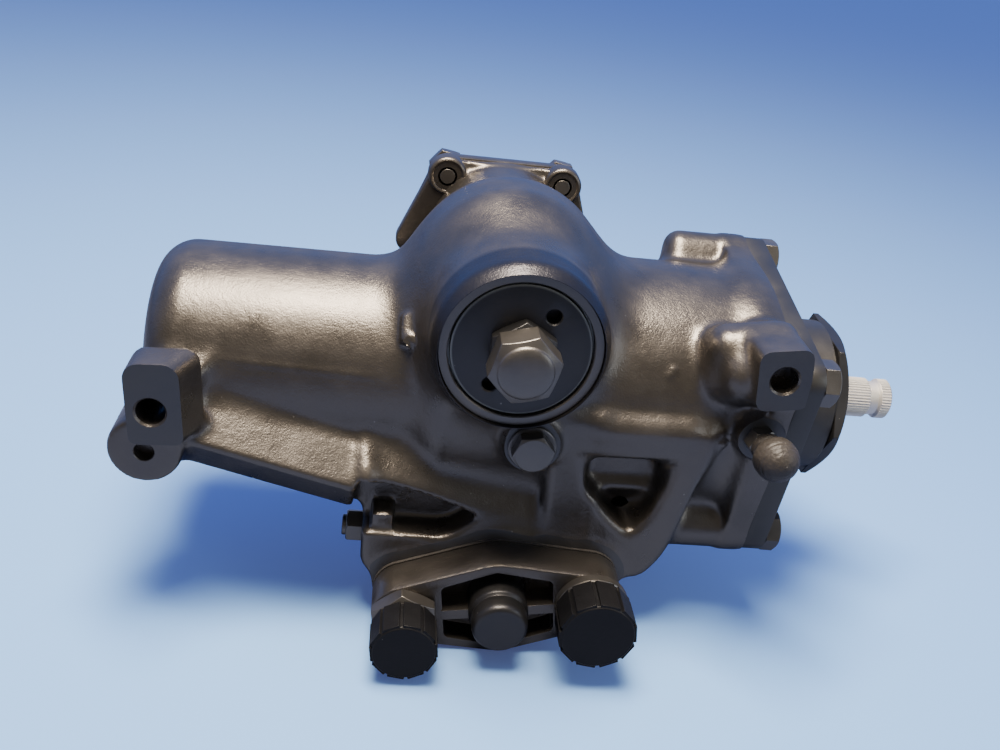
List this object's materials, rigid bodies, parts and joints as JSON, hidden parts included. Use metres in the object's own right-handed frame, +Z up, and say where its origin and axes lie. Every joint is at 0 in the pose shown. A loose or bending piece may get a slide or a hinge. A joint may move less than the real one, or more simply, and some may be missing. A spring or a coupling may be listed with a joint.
{
  "type": "steering gearbox",
  "caption": "Recirculating-ball power steering gear: cast housing with piston barrel, sector shaft, bolted end cover, serrated input stub and port block with capped unions.",
  "frame": {"origin": "on the axis of the sector shaft, where the thread on its output end begins", "axes": "+X along the worm axis towards the input stub, +Y along the sector shaft to its output end, +Z up"},
  "size_m": [0.382, 0.258, 0.1983],
  "materials": {
    "cast_black": "sand cast, satin black paint",
    "machined_black": "machined, satin black paint",
    "bolt_black": "black paint, rubbed at the edges",
    "cap_black": "moulded",
    "rubber_black": "matt",
    "gasket_grey": "pressed fibre",
    "bright_steel": "ground",
    "bare_steel": "bare, oiled",
    "iron": "machined"
  },
  "bodies": {
    "casing": {"housing": "cast_black", "end_cover": "machined_black", "end_cover_bolts": "bolt_black", "end_cover_seal": "rubber_black", "worm_adjuster": "machined_black", "lock_ring": "machined_black", "input_seal": "rubber_black", "inner_thrust_bearing": "bright_steel", "outer_thrust_bearing": "bright_steel", "front_cover": "machined_black", "front_cover_ring": "bolt_black", "front_cover_seal": "rubber_black", "adjusting_screw": "bright_steel", "lock_nut": "machined_black", "cap_nut": "machined_black", "front_bearing": "bright_steel", "rear_bearing": "bright_steel", "rear_cover": "cast_black", "rear_cover_bolts": "bolt_black", "rear_cover_seal": "rubber_black", "output_seal": "rubber_black", "port_gasket": "gasket_grey", "port_block": "cast_black", "port_screw": "machined_black", "pressure_union": "bolt_black", "return_union": "bolt_black", "pressure_cap": "cap_black", "return_cap": "cap_black", "plug_washer": "bolt_black", "plug_screw": "bolt_black", "side_plug": "bolt_black", "bleed_screw": "bolt_black", "bleed_cap": "rubber_black"},
    "sector": {"sector_shaft": "bright_steel", "screw_retainer": "bright_steel"},
    "piston": {"rack_piston": "iron", "piston_ring": "bright_steel", "balls": "bright_steel", "return_tube": "bright_steel"},
    "worm": {"worm_shaft": "bright_steel", "input_shaft": "bare_steel", "torsion_bar": "bright_steel"}
  },
  "joints": [
    {"name": "sector_turn", "type": "hinge", "parent": "casing", "child": "sector", "pos_m": [0, 0, 0], "axis": [0, 1, 0], "range_deg": [-42, 42]},
    {"name": "piston_slide", "type": "slide", "parent": "casing", "child": "piston", "axis": [1, 0, 0], "range_m": [-0.0195, 0.0195]},
    {"name": "worm_spin", "type": "hinge", "parent": "casing", "child": "worm", "pos_m": [0, -0.12, -0.05], "axis": [1, 0, 0], "range_deg": [-700, 700]}
  ],
  "couplings": [
    {"joint": "piston_slide", "follows": "sector_turn", "m_per_rad": -0.0265},
    {"joint": "worm_spin", "follows": "sector_turn", "ratio": 16.65}
  ]
}
